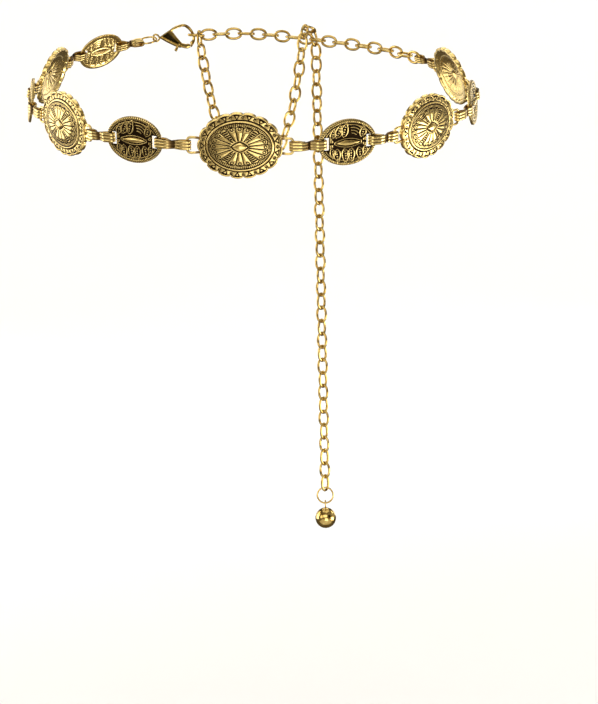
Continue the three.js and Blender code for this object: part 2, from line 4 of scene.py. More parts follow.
import bpy
import numpy as np
from mathutils import Matrix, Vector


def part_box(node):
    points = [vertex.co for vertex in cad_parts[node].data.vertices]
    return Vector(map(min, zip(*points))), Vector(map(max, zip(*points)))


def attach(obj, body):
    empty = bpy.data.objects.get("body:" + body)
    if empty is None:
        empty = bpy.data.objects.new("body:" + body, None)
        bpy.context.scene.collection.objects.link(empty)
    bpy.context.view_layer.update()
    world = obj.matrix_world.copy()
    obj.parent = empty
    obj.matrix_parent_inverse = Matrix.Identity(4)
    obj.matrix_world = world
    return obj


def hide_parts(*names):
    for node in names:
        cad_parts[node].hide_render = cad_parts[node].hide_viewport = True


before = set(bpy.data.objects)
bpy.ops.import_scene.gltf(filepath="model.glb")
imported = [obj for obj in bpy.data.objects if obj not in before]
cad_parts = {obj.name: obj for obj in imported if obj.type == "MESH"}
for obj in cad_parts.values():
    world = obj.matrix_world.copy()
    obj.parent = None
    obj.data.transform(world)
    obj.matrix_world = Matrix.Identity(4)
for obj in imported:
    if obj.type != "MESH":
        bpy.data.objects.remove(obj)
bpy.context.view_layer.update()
MM = 0.001
TURN = 2 * math.pi


# ---------------------------------------------------------------- vectors and soft steps

def unit(v):
    """The same direction, one long."""
    return np.asarray(v, float) / np.linalg.norm(v)


def units(rows):
    """The same direction in each row, one long."""
    return rows / np.linalg.norm(rows, axis=1, keepdims=True)


def heading(degrees):
    """Level direction at that angle from +X towards +Y."""
    return np.array([math.cos(math.radians(degrees)), math.sin(math.radians(degrees)), 0.0])


UP = np.array([0.0, 0.0, 1.0])


def ramp(x, low, high):
    """0 below low, 1 above high, and a smooth cubic step between."""
    t = np.clip((np.asarray(x, float) - low) / (high - low), 0, 1)
    return t * t * (3 - 2 * t)


def ridge(distance, width):
    """A rounded ridge: 1 on the line, falling away as a bell over the width."""
    return np.exp(-(distance / width) ** 2)


# ---------------------------------------------------------------- the belt's plan, as in the solids

# the loop dips to the front by TILT and to +X by ROLL; its front concho is HALF_DEPTH before its middle
TILT, ROLL, HALF_DEPTH = math.radians(22), math.radians(2.3), 122.0
BELT_TURN = np.array(Matrix.Rotation(ROLL, 3, "Y")) @ np.array(Matrix.Rotation(TILT, 3, "X"))
# from a concho's middle to its joint, from one end of a hook to the other, and to the bend that holds the chain
LARGE_REACH, SMALL_REACH, HOOK_REACH, HOOK_END = 28.0, 12.0, 17.6, 17.7
CONCHO_SPACING = 56.5

# from the clasp's end round the front: large, heading and lean in degrees, rise above the loop's plane
CONCHOS = [
    ("concho_small_1", False, -137.4, -22, -0.7), ("concho_large_1", True, -101.9, -16, -3.7),
    ("concho_small_2", False, -79.6, -9, -3.6), ("concho_large_2", True, -51.6, -1, -2.4),
    ("concho_small_3", False, -23.2, -2, 0.6), ("concho_large_3", True, -1.4, -4, 1.3),
    ("concho_small_4", False, 22.0, -2, 2.1), ("concho_large_4", True, 47.4, -2, 1.4),
    ("concho_small_5", False, 77.6, -9, 1.7), ("concho_large_5", True, 109.1, -16, 2.6),
]
FRONT = 5


def to_world(points):
    """From the loop's own frame, where the loop is level, to the world's."""
    return np.asarray(points, float) @ BELT_TURN.T


def concho_centres():
    """Walks both ways from the front concho: half a concho, a hook, half a concho."""
    centres = {FRONT: np.array([0.0, -HALF_DEPTH, 0.0])}
    for start, stop, way in ((FRONT, -1, -1), (FRONT, len(CONCHOS), 1)):
        for i in range(start + way, stop, way):
            before, here = CONCHOS[i - way], CONCHOS[i]
            step = heading(before[2]) * (LARGE_REACH if before[1] else SMALL_REACH)
            step = step + heading((before[2] + here[2]) / 2) * HOOK_REACH
            step = step + heading(here[2]) * (LARGE_REACH if here[1] else SMALL_REACH)
            centres[i] = centres[i - way] + way * step
    return [np.array([*centres[i][:2], CONCHOS[i][4]]) for i in range(len(CONCHOS))]


CENTRES = concho_centres()


def concho_axes(i):
    """Directions along, inward and up of a concho in the loop's own frame."""
    before, after = max(i - 1, 0), min(i + 1, len(CONCHOS) - 1)
    along = heading(CONCHOS[i][2])
    along[2] = (CONCHOS[after][4] - CONCHOS[before][4]) / (CONCHO_SPACING * (after - before))
    along = unit(along)
    outward = unit([along[1], -along[0], 0])
    lean = math.radians(CONCHOS[i][3])
    up = unit(np.cross(outward, along) * math.cos(lean) + outward * math.sin(lean))
    return along, unit(np.cross(up, along)), up


def belt_end(i, way):
    """The joint at a concho's end, towards the clasp (way -1) or towards the chain (way 1)."""
    along = concho_axes(i)[0]
    return CENTRES[i] + way * along * (LARGE_REACH if CONCHOS[i][1] else SMALL_REACH)


# ---------------------------------------------------------------- meshes from arrays

def grid_quads(rows, columns, close_rows=False, close_columns=True):
    """Four-cornered faces between neighbouring rows and columns of a grid of vertices."""
    r = np.arange(rows if close_rows else rows - 1)
    c = np.arange(columns if close_columns else columns - 1)
    r, c = np.meshgrid(r, c, indexing="ij")
    r2, c2 = (r + 1) % rows, (c + 1) % columns
    return np.stack([r * columns + c, r * columns + c2, r2 * columns + c2, r2 * columns + c], -1).reshape(-1, 4)


def fan(centre, ring, flip=False):
    """Triangles from one vertex to a closed ring of vertices."""
    after = np.roll(ring, -1)
    sides = (after, ring) if flip else (ring, after)
    return np.stack([np.full(len(ring), centre), *sides], -1)


def end_fans(rows, columns):
    """Triangles over the first and the last row of a grid, from the two vertices that follow it."""
    count, first = rows * columns, np.arange(columns)
    return np.concatenate([fan(count, first, True), fan(count + 1, count - columns + first)])


def turned(radius, height, columns):
    """Rows of vertices: a profile of radii and heights turned about the Z axis."""
    a = TURN * np.arange(columns) / columns
    radius, height = np.asarray(radius)[:, None], np.asarray(height)[:, None]
    return np.stack([radius * np.cos(a), radius * np.sin(a), height + 0 * a], -1).reshape(-1, 3)


def add_object(name, data):
    """Puts a mesh, light or camera into the scene."""
    made = bpy.data.objects.new(name, data)
    bpy.context.scene.collection.objects.link(made)
    return made


def add_piece(name, co, quads, tris, material, body, nodes, marks=None):
    """One mesh object from world millimetres, turned outwards, riding on a body and standing for CAD nodes."""
    co = np.asarray(co, float)
    tris = np.asarray(tris, int).reshape(-1, 3)
    quads = np.asarray(quads, int).reshape(-1, 4)
    a, b, c = (co[np.concatenate([quads[:, k], tris[:, k]])] for k in range(3))
    d = co[np.concatenate([quads[:, 3], tris[:, 2]])]
    volume = np.einsum("ij,ij->", a, np.cross(b, c)) + np.einsum("ij,ij->", a, np.cross(c, d))
    if volume < 0:
        quads, tris = quads[:, ::-1], tris[:, ::-1]
    mesh = bpy.data.meshes.new(name)
    mesh.vertices.add(len(co))
    mesh.vertices.foreach_set("co", (co * MM).ravel())
    corners = np.concatenate([quads.ravel(), tris.ravel()])
    mesh.loops.add(len(corners))
    mesh.loops.foreach_set("vertex_index", corners)
    starts = np.concatenate([np.arange(len(quads)) * 4, len(quads) * 4 + np.arange(len(tris)) * 3])
    mesh.polygons.add(len(starts))
    mesh.polygons.foreach_set("loop_start", starts)
    mesh.polygons.foreach_set("use_smooth", np.ones(len(starts), bool))
    for key, values in (marks or {}).items():
        mesh.attributes.new(key, "FLOAT", "POINT").data.foreach_set("value", np.asarray(values, float).ravel())
    mesh.update(calc_edges=True)
    mesh.validate()
    mesh.materials.append(material)
    piece = add_object(name, mesh)
    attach(piece, body)
    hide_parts(*nodes)


class Heap:
    """Collects the grids of one piece: vertices, faces and two marks at each vertex. `hollow` is the share of patina,
    0 to 1. `stamp` is the distance in millimetres to the nearest engraved line, negative inside it."""

    def __init__(self):
        self.co, self.quads, self.tris, self.hollow, self.stamp, self.count = [], [], [], [], [], 0

    def add(self, co, quads, tris=None, hollow=0.0, stamp=1.0):
        co = np.asarray(co, float).reshape(-1, 3)
        self.quads.append(np.asarray(quads, int).reshape(-1, 4) + self.count)
        if tris is not None and len(tris):
            self.tris.append(np.asarray(tris, int).reshape(-1, 3) + self.count)
        self.hollow.append(np.broadcast_to(np.ravel(hollow), len(co)))
        self.stamp.append(np.broadcast_to(np.ravel(stamp), len(co)))
        self.co.append(co)
        self.count += len(co)

    def piece(self, name, material, body, nodes, move=None):
        co = np.concatenate(self.co)
        tris = np.concatenate(self.tris) if self.tris else []
        marks = {"hollow": np.concatenate(self.hollow), "stamp": np.concatenate(self.stamp)}
        co = co if move is None else move(co)
        add_piece(name, co, np.concatenate(self.quads), tris, material, body, nodes, marks)


def swept(path, out, side, section, closed=True):
    """A section carried along a path: each path point adds section x across out and section y across side.
    An open path gets a fan over each end."""
    path, out, side = (np.asarray(v, float) for v in (path, out, side))
    co = path[:, None] + section[..., 0:1] * out[:, None] + section[..., 1:2] * side[:, None]
    rows, columns = co.shape[:2]
    co = co.reshape(-1, 3)
    quads = grid_quads(rows, columns, close_rows=closed)
    if closed:
        return co, quads, None
    ends = np.stack([co[:columns].mean(0), co[-columns:].mean(0)])
    return np.concatenate([co, ends]), quads, end_fans(rows, columns)


def circle(sides, radius=1.0):
    a = TURN * np.arange(sides) / sides
    return np.stack([radius * np.cos(a), radius * np.sin(a)], -1)


def oval_wire(half_length, half_width, radius, bends=28, sides=8, roundness=1.0):
    """A closed oval of round wire in the XY plane: the ellipse's cosine and sine, raised to `roundness`."""
    a = TURN * np.arange(bends) / bends
    x = half_length * np.sign(np.cos(a)) * np.abs(np.cos(a)) ** roundness
    y = half_width * np.sign(np.sin(a)) * np.abs(np.sin(a)) ** roundness
    path = np.stack([x, y, 0 * a], -1)
    along = np.roll(path, -1, 0) - np.roll(path, 1, 0)
    out = units(np.stack([along[:, 1], -along[:, 0], 0 * a], -1))
    return swept(path, out, np.tile(UP, (bends, 1)), circle(sides, radius))


def arc_lengths(points):
    """Length along a line of points from its first to each of them."""
    return np.concatenate([[0], np.cumsum(np.linalg.norm(np.diff(points, axis=0), axis=1))])


def walk(points, at):
    """Places on a line of points at lengths from its start, kept between its two ends."""
    return np.stack([np.interp(at, arc_lengths(points), column) for column in points.T], -1)


def smooth_curve(points, samples):
    """Even steps of arc length along a curve that passes through all points with continuous direction. Between two
    points it is a cubic whose direction at each of them is that from the point before to the point after."""
    p = np.asarray(points, float)
    p = np.vstack([2 * p[0] - p[1], p, 2 * p[-1] - p[-2]])
    t = np.linspace(0, 1, 24, endpoint=False)[:, None]
    parts = []
    for a, b, c, d in zip(p[:-3], p[1:-2], p[2:-1], p[3:]):
        square, cube = 2 * a - 5 * b + 4 * c - d, 3 * b - a - 3 * c + d
        parts.append(0.5 * (2 * b + (c - a) * t + square * t ** 2 + cube * t ** 3))
    fine = np.vstack([*parts, p[-2:-1]])
    return walk(fine, np.linspace(0, arc_lengths(fine)[-1], samples))


# a direction that no open wire of this belt runs along
ASKEW = np.array([0.31, 0.22, 0.93])


def open_wire(points, radius, sides=10, samples=40):
    """Round wire along a smooth curve through points: at each sample two directions square to the path carry a
    circle. Three radii are those at the start, middle and end; a flat fan closes each end."""
    path = smooth_curve(points, samples)
    along = units(np.gradient(path, axis=0))
    out = units(np.cross(along, unit(np.cross(path[-1] - path[0], ASKEW))))
    radii = np.interp(np.linspace(0, 1, samples), [0, 0.5, 1], np.broadcast_to(radius, 3))
    return swept(path, out, np.cross(along, out), circle(sides) * radii[:, None, None], closed=False)


def placer(along, inward, up, centre):
    """Moves a piece's own millimetres to the world, by way of the loop's frame."""
    basis = np.stack([along, inward, up])
    return lambda co: to_world(co @ basis + centre)


# ---------------------------------------------------------------- materials

def rgb(code):
    """sRGB hex to linear RGBA."""
    c = np.array([int(code[i:i + 2], 16) / 255 for i in (1, 3, 5)])
    return (*np.where(c <= 0.04045, c / 12.92, ((c + 0.055) / 1.055) ** 2.4), 1.0)


def node(tree, kind, links=(), **settings):
    """Adds a node, sets its properties or sockets, and links (from socket, to socket name)."""
    made = tree.nodes.new(kind)
    for key, value in settings.items():
        if key in made.bl_rna.properties:
            setattr(made, key, value)
        else:
            made.inputs[key.replace("_", " ")].default_value = value
    for source, target in links:
        tree.links.new(source, made.inputs[target])
    return made


def new_material(name):
    material = bpy.data.materials.new(name)
    material.use_nodes = True
    material.node_tree.nodes.clear()
    return material, material.node_tree


def finish_material(tree, shader):
    node(tree, "ShaderNodeOutputMaterial", [(shader.outputs[0], "Surface")])


def antique_gold():
    """Gold-plated cast zinc, oxidised and then relieved on a buff: polished yellow gold stays on the raised work,
    brown-black patina sits in the hollows and stamped lines. Grain is 0.4 mm wide, rubbed patches are 6 mm wide."""
    material, tree = new_material("antique_gold_plated_zinc")
    place = node(tree, "ShaderNodeTexCoord").outputs["Object"]
    hollow = node(tree, "ShaderNodeAttribute", attribute_name="hollow").outputs["Fac"]
    stamp = node(tree, "ShaderNodeAttribute", attribute_name="stamp").outputs["Fac"]
    line = node(tree, "ShaderNodeMapRange", [(stamp, "Value")], interpolation_type="SMOOTHSTEP", From_Min=-0.05,
                From_Max=0.10, To_Min=1.0, To_Max=0.0).outputs[0]
    grain = node(tree, "ShaderNodeTexNoise", [(place, "Vector")], Scale=2500, Detail=3, Roughness=0.6)
    patch = node(tree, "ShaderNodeTexNoise", [(place, "Vector")], Scale=170, Detail=2, Roughness=0.5)
    rub = node(tree, "ShaderNodeMapRange", [(patch.outputs["Fac"], "Value")], From_Min=0.3, From_Max=0.7,
               To_Min=-0.12, To_Max=0.12)
    deep = node(tree, "ShaderNodeMath", [(hollow, 0), (line, 1)], operation="MAXIMUM").outputs[0]
    worn = node(tree, "ShaderNodeMath", [(deep, 0), (rub.outputs[0], 1)], operation="ADD", use_clamp=True)
    depth = node(tree, "ShaderNodeValToRGB", [(worn.outputs[0], "Fac")])
    stops = depth.color_ramp.elements
    stops[0].position, stops[0].color = 0.10, rgb("#f0d286")
    stops[1].position, stops[1].color = 0.85, rgb("#2a1d0f")
    middle = stops.new(0.45)
    middle.color = rgb("#8c6e40")
    rough = node(tree, "ShaderNodeMapRange", [(worn.outputs[0], "Value")], To_Min=0.23, To_Max=0.55)
    cut = node(tree, "ShaderNodeBump", [(line, "Height")], invert=True, Strength=0.9, Distance=0.0003)
    bump = node(tree, "ShaderNodeBump", [(grain.outputs["Fac"], "Height"), (cut.outputs[0], "Normal")], Strength=0.12,
                Distance=0.00006)
    shader = node(tree, "ShaderNodeBsdfPrincipled", [
        (depth.outputs["Color"], "Base Color"), (rough.outputs[0], "Roughness"), (bump.outputs[0], "Normal")],
        Metallic=1.0)
    finish_material(tree, shader)
    return material


def bright_gold():
    """Bright gold plating on drawn brass wire and cast fittings: mirror-like with a faint 0.5 mm ripple from
    barrel polishing and slightly duller, browner patches, 4 mm wide, where the plating is handled."""
    material, tree = new_material("bright_gold_plated_brass")
    place = node(tree, "ShaderNodeTexCoord").outputs["Object"]
    ripple = node(tree, "ShaderNodeTexNoise", [(place, "Vector")], Scale=2000, Detail=2, Roughness=0.5)
    patch = node(tree, "ShaderNodeTexNoise", [(place, "Vector")], Scale=260, Detail=2, Roughness=0.5)
    tone = node(tree, "ShaderNodeValToRGB", [(patch.outputs["Fac"], "Fac")])
    stops = tone.color_ramp.elements
    stops[0].position, stops[0].color = 0.35, rgb("#b59349")
    stops[1].position, stops[1].color = 0.65, rgb("#e2c57c")
    rough = node(tree, "ShaderNodeMapRange", [(patch.outputs["Fac"], "Value")], To_Min=0.06, To_Max=0.16)
    bump = node(tree, "ShaderNodeBump", [(ripple.outputs["Fac"], "Height")], Strength=0.08, Distance=0.00005)
    shader = node(tree, "ShaderNodeBsdfPrincipled", [
        (tone.outputs["Color"], "Base Color"), (rough.outputs[0], "Roughness"), (bump.outputs[0], "Normal")],
        Metallic=1.0)
    finish_material(tree, shader)
    return material


ANTIQUE = antique_gold()
BRIGHT = bright_gold()


# ---------------------------------------------------------------- large concho

# scallops of the rim, petals, the petals that carry a ladder, and strokes of the hatched ring
LOBES, PETALS, LADDERS, STROKES = 17, 20, (3, 7, 13, 17), 92
# half length of the oval at the rim, and step from rung to rung of a ladder
FLANGE, RUNG = 22.5, 1.5
# share of the sine of twice the angle that makes steps of angle even along a rim
EVEN = 0.061


def oval_height(a):
    """Half height of the oval whose half length is a: the petals' ovals are flatter than the rim's."""
    return np.interp(a, [0, 3.6, 5.2, 14.5, 15.7, 17.4, 22.5], [0, 2.5, 3.3, 9.9, 10.8, 13.1, 17.6])


def large_relief(a, phi, lobe):
    """Height of the chased work over the dome, and distance to the nearest stamped line in millimetres, at oval a and
    angle phi; lobe runs from -1 to 1 across each lobe. Petals are low arches with a groove between neighbours. A line
    is the distance to its middle less half its width; the lines are joined by taking the least distance."""
    b = oval_height(a)
    radial = np.hypot(np.cos(phi), b / np.maximum(a, 0.1) * np.sin(phi))
    tangent = np.hypot(a * np.sin(phi), b * np.cos(phi))
    count = phi * PETALS / TURN
    index = np.round(count).astype(int) % PETALS
    across = 2 * (count - np.round(count))
    half = np.pi / PETALS * tangent
    ladder = np.isin(index, LADDERS)

    lozenge = ((np.abs(a * np.cos(phi)) / 3.9) ** 1.4 + (np.abs(b * np.sin(phi)) / 2.4) ** 1.4) ** (1 / 1.4)
    grooves = (1 - np.abs(across)) * half - 0.20 - 0.10 * (1 - ramp(a, 5, 8))
    grooves = np.maximum.reduce([grooves, (5.0 - a) * radial, (a - 15.2) * radial])
    boss_line = np.abs(lozenge - 1.12) * 3 - 0.30
    tips = np.abs(a - 15.3 + 1.1 * across ** 2) * radial - 0.21
    eyelets = np.abs(np.hypot((a - 13.6) * radial, across * half) - 0.75) - 0.19
    eyelets = np.where(ladder, 1.0, eyelets)
    rungs = np.abs(a / RUNG - np.round(a / RUNG)) * RUNG * radial - 0.36
    rungs = np.maximum.reduce([rungs, np.abs(across) * half - half + 0.5, (6.2 - a) * radial, (a - 14.3) * radial])
    rungs = np.where(ladder, rungs, 1.0)
    strokes = phi * STROKES / TURN
    hatch = np.abs(strokes - np.round(strokes)) * TURN / STROKES * tangent - 0.17
    hatch = np.maximum(hatch, np.abs(a - 16.0) * radial - 0.42)
    rings = np.minimum(np.abs(a - 16.75) * radial - 0.15, np.abs(a - 18.2) * radial - 0.24)

    sideways = lobe * np.pi / LOBES * tangent
    rise = (a - 19.95) * radial
    triangle = np.maximum(rise - 0.8, np.abs(sideways) * 0.80 - rise * 0.60 - 0.62)
    notch = np.hypot((1 - np.abs(lobe)) * np.pi / LOBES * tangent, (a - 20.1) * radial)
    edge = (FLANGE - a) * radial
    stamps = np.minimum.reduce([np.abs(triangle) - 0.21, np.abs(notch - 0.62) - 0.19, np.abs(edge - 0.95) - 0.15])
    stamps = np.maximum(stamps, (18.6 - a) * radial)

    stamp = np.minimum.reduce([grooves, boss_line, tips, eyelets, rungs, hatch, rings, stamps])
    petals = ramp(a, 4.8, 5.4) * (1 - ramp(a, 15.2, 15.6))
    crown = petals * 0.20 * (1 - across ** 2)
    ridges = 0.30 * ridge((a - 17.45) * radial, 0.45)
    lip = ramp(a, 18.2, 18.6) * (0.30 * ridge(edge - 0.45, 0.45) + 0.15 * (1 - lobe ** 2))
    centre = 0.85 * np.sqrt(np.clip(1 - lozenge ** 2, 0, 1))
    return crown + ridges + lip + centre - 0.16 * ramp(-stamp, -0.15, 0.15), stamp


def large_concho():
    """One closed skin: rows of ovals run from the face's middle over the rim to the back's middle. Columns step evenly
    round the scalloped rim. The height is the dome's profile plus the relief, pressed through to the back."""
    columns = LOBES * 22
    turn = np.arange(columns) / columns
    phi = TURN * turn + EVEN * np.sin(2 * TURN * turn)
    lobe = 2 * ((LOBES * turn) % 1) - 1
    front_a = np.concatenate([np.linspace(0.3, 18.3, 66), np.linspace(18.5, FLANGE, 22)])
    back_a = np.concatenate([np.linspace(FLANGE, 19.5, 6), np.linspace(19.2, 0.5, 34)])
    front = np.interp(front_a, [0, 3.6, 11.2, 16.8, 18.0, 22.5], [3.75, 3.7, 3.3, 2.2, 1.5, 1.0])
    back = np.interp(back_a, [0, 11.2, 19.2, 20.2, 22.5], [2.7, 1.8, -0.3, -1.25, -1.3])
    a = np.concatenate([front_a, [FLANGE + 0.12] * 2, back_a])[:, None] + 0 * phi
    out = np.concatenate([front, [0.45, -0.75], back])[:, None] + 0 * phi
    relief, stamp = large_relief(np.minimum(a, FLANGE), phi[None, :], lobe[None, :])
    pressed = 1 - ramp(back_a, 18.4, 19.2)
    share = np.concatenate([np.ones(len(front)), [0.2, 0.0], 0.8 * pressed])[:, None]
    out = out + relief * share
    faced = np.concatenate([np.ones(len(front)), [0, 0], 0 * back_a])[:, None] > 0
    hollow = np.where(faced, 0.18 * ramp(-relief, -0.30, 0.1), 0.30 * ramp(-stamp, -0.1, 0.1) * share)
    stamp = np.where(faced, stamp, 1.0)
    scallop = 1 - 0.065 * (1 - np.sqrt(1 - lobe ** 2)) * ramp(a, 17.5, 22.0)
    x, z = a * np.cos(phi) * scallop, oval_height(a) * np.sin(phi) * scallop
    z = np.where(a > FLANGE, (oval_height(FLANGE) + 0.12) * np.sin(phi) * scallop, z)
    co = np.stack([x, -out, z], -1).reshape(-1, 3)
    poles = np.array([[0, -out[0].mean(), 0], [0, -out[-1].mean(), 0]])
    heap = Heap()
    heap.add(np.concatenate([co, poles]), grid_quads(len(a), columns), end_fans(len(a), columns),
             [*hollow.ravel(), 0, 0], [*stamp.ravel(), 1, 1])
    for way in (-1, 1):
        points = np.array([[20.4, 0.1, 3.6], [24.2, 0, 4.1], [26.8, 0, 3.9], [27.9, 0, 2.4], [28.0, 0, 0],
                           [27.9, 0, -2.4], [26.8, 0, -3.9], [24.2, 0, -4.1], [20.4, 0.1, -3.6]])
        wire, quads, caps = open_wire(points * [way, 1, 1], 0.68, samples=44)
        heap.add(wire, quads if way > 0 else quads[:, ::-1], caps if way > 0 else caps[:, ::-1],
                 0.08 + 0.4 * ramp(-np.abs(wire[:, 0]), -24.2, -22.6))
    return heap


# ---------------------------------------------------------------- small concho

# half length and half height of the rim, inner edge, outer edge and half height of a slot, half length of the lens
SMALL, SLOT, LENS = (16.5, 12.5), (10.7, 13.4, 3.4), 6.9
# width of the rope border and number of its strands
ROPE, STRANDS = 1.9, 76

# leaves chased in the small concho's field: root and tip, half width and sideways bend of the mid rib
LEAVES = [
    ((-9.8, 2.6), (-8.4, 8.0), 1.55, -0.5), ((-6.8, 3.0), (-4.6, 9.9), 2.00, -0.5),
    ((-2.6, 3.1), (-0.6, 10.6), 2.00, 0.5), ((7.4, 2.6), (8.8, 8.6), 1.75, -0.5),
    ((-9.6, -2.8), (-8.6, -8.0), 1.50, 0.5), ((-6.3, -3.0), (-5.2, -10.0), 1.95, -0.5),
    ((-2.2, -3.1), (-1.4, -10.8), 2.00, 0.5), ((2.0, -3.1), (2.6, -10.7), 2.00, -0.5),
    ((6.1, -3.0), (6.8, -9.6), 1.95, 0.5), ((9.6, -2.7), (9.4, -7.6), 1.35, 0.4),
    ((-8.9, 0.8), (-10.1, 2.2), 0.55, 0.2), ((-8.9, -0.8), (-10.1, -2.2), 0.55, -0.2),
    ((8.9, 0.8), (10.1, 2.2), 0.55, -0.2), ((8.9, -0.8), (10.1, -2.2), 0.55, 0.2),
]
# ribbed fan over the lens: middle, radii, first and last angle in degrees
FAN = ((2.3, 2.4), (2.6, 4.1, 5.6, 7.1), 32, 100)
# step from bead to bead along a leaf's mid rib
BEAD = 1.35


def leaf_distance(x, z, root, tip, half_width, bend):
    """Distance to the outline and to the mid rib of a leaf, and length along it. Along the rib, t runs 0 to 1; the rib
    bows sideways as 4 t (1 - t) and the half width follows sin(pi t^0.8)."""
    root, tip = np.array(root), np.array(tip)
    length = np.linalg.norm(tip - root)
    ux, uz = (tip - root) / length
    t = ((x - root[0]) * ux + (z - root[1]) * uz) / length
    inside = np.clip(t, 0, 1)
    side = (z - root[1]) * ux - (x - root[0]) * uz - bend * 4 * inside * (1 - inside)
    beyond = (t - inside) * length
    width = half_width * np.sin(np.pi * np.clip(inside, 1e-6, 1) ** 0.8)
    return np.hypot(np.abs(side) - width, beyond), np.hypot(side, beyond), t * length


def small_relief(x, z):
    """Height over the plate, share of patina and distance to the nearest hollow at x, z. The border is a rope: a
    half-round roll cut by slanted grooves evenly spaced round the rim. The field is sunk; leaves, fan and beads stand
    in it as wires. A wire's clearance is half its width less the distance to its middle, and the greatest one counts.
    The lens is domed, with a wire round it, and nothing is chased over the slots."""
    reach = np.hypot(x / SMALL[0], z / SMALL[1])
    angle = np.arctan2(z / SMALL[1], x / SMALL[0])
    slope = np.hypot(SMALL[0] * np.sin(angle), SMALL[1] * np.cos(angle))
    gradient = np.hypot(np.cos(angle) / SMALL[0], np.sin(angle) / SMALL[1])
    edge = (1 - reach) / gradient
    roll = np.clip((edge - ROPE / 2) / (ROPE / 2), -1.2, 1.2)
    twist = (angle - EVEN * np.sin(2 * angle)) * STRANDS / TURN + 0.42 * roll
    strand = np.abs(twist - np.round(twist)) * TURN / STRANDS * slope
    rope = np.sqrt(np.clip(1 - roll ** 2, 0, 1))

    wires = np.maximum(-1.0, 0.26 - np.abs(edge - 2.75))
    for root, tip, half_width, bend in LEAVES:
        outline, rib, along = leaf_distance(x, z, root, tip, half_width, bend)
        wires = np.maximum(wires, 0.33 - outline)
        beads = np.hypot(rib, np.abs(along / BEAD - np.round(along / BEAD)) * BEAD)
        room = (along > 1.2) & (along < np.linalg.norm(np.subtract(tip, root)) - 1.3) & (rib < half_width * 0.6)
        wires = np.where(room, np.maximum(wires, 0.48 - beads), wires)
    (fan_x, fan_z), radii, first, last = FAN
    around = np.degrees(np.arctan2(z - fan_z, x - fan_x))
    away = np.hypot(x - fan_x, z - fan_z)
    for radius in radii:
        wires = np.where((around > first) & (around < last), np.maximum(wires, 0.3 - np.abs(away - radius)), wires)

    lens = np.clip(1 - (np.abs(x) / LENS) ** 2, 0, 1)
    lens_half = 1.50 * lens
    over = np.where(np.abs(x) > LENS, np.hypot(np.abs(x) - LENS, z), np.abs(z) - lens_half)
    inner, outer, tall = SLOT
    slot = np.maximum(np.abs(np.abs(x) - (inner + outer) / 2) - (outer - inner) / 2, np.abs(z) - tall)
    wires = np.minimum(wires, np.minimum(over - 1.15, slot - 0.4))
    wires = np.maximum(wires, 0.27 - np.abs(over - 0.80))
    wires = np.where(over < 0, 0.4, wires)

    on_rope = edge < ROPE
    stamp = np.where(on_rope, np.minimum(strand - 0.19, 0.75), wires)
    dome = 0.95 * np.sqrt(np.clip(1 - (np.abs(z) / np.maximum(lens_half, 0.01)) ** 2, 0, 1) * lens) * (over < 0)
    rope_height = 0.62 * rope - 0.22 * ramp(0.25 - strand, 0, 0.25) * rope
    height = np.where(on_rope, rope_height, 0.42 * ramp(wires, -0.22, 0.12))
    hollow = np.where(on_rope, 0.35 * ramp(np.abs(roll), 0.45, 0.95), 0.0)
    return height + dome, hollow, stamp


def small_concho():
    """A flat oval of two grids, face and back, whose lines follow the slots' edges; the faces over the slots are left
    out and walls join the two grids round the slots and the rim. The face's work shows faintly, reversed, behind."""
    inner, outer, tall = SLOT
    marks = np.arcsin(np.array([inner, outer]) / SMALL[0])
    near_tip = math.radians(88.6)
    half = np.concatenate([np.linspace(0, marks[0], 46)[:-1], np.linspace(marks[0], marks[1], 11)[:-1],
                           np.linspace(marks[1], near_tip, 18)])
    theta = np.concatenate([-half[:0:-1], half])
    x = SMALL[0] * np.sin(theta)
    top = SMALL[1] * np.cos(theta)
    waist = np.minimum(tall, 0.5 * top)
    low, high = np.linspace(0, 1, 19), np.linspace(0, 1, 40)[1:]
    upper = np.concatenate([low[None, :] * waist[:, None], waist[:, None] + high[None, :] * (top - waist)[:, None]], 1)
    z = np.concatenate([-upper[:, :0:-1], upper], 1)
    x = np.broadcast_to(x[:, None], z.shape)
    rows, columns = z.shape
    relief, hollow, stamp = small_relief(x, z)
    reach = np.hypot(x / SMALL[0], z / SMALL[1])
    face = np.interp(reach, [0, 0.84, 0.9, 1.0], [0.75, 0.45, 0.35, 0.15]) + relief
    inside = ramp(1 - reach, 0.10, 0.17)
    back = -0.62 + 0.45 * inside + 0.45 * relief * inside
    co = np.concatenate([np.stack([x, -face, z], -1).reshape(-1, 3), np.stack([x, -back, z], -1).reshape(-1, 3)])
    quads = grid_quads(rows, columns, close_columns=False)
    mid_x, mid_z = x.reshape(-1)[quads].mean(1), z.reshape(-1)[quads].mean(1)
    keep = quads[~((np.abs(mid_x) > inner) & (np.abs(mid_x) < outer) & (np.abs(mid_z) < tall))]
    layer = rows * columns
    # an edge used by one kept face only lies on the rim or on a slot
    edges = np.concatenate([keep[:, [k, (k + 1) % 4]] for k in range(4)])
    key = np.sort(edges, 1)
    _, where, count = np.unique(key[:, 0] * layer + key[:, 1], return_index=True, return_counts=True)
    rim = edges[where[count == 1]]
    walls = np.stack([rim[:, 1], rim[:, 0], rim[:, 0] + layer, rim[:, 1] + layer], -1)
    faint = 0.34 * ramp(stamp, -0.1, 0.2) * inside
    heap = Heap()
    heap.add(co, np.concatenate([keep, keep[:, ::-1] + layer, walls]), None, [*hollow.ravel(), *faint.ravel()],
             [*stamp.ravel(), *np.ones(layer)])
    return heap


# ---------------------------------------------------------------- hooks

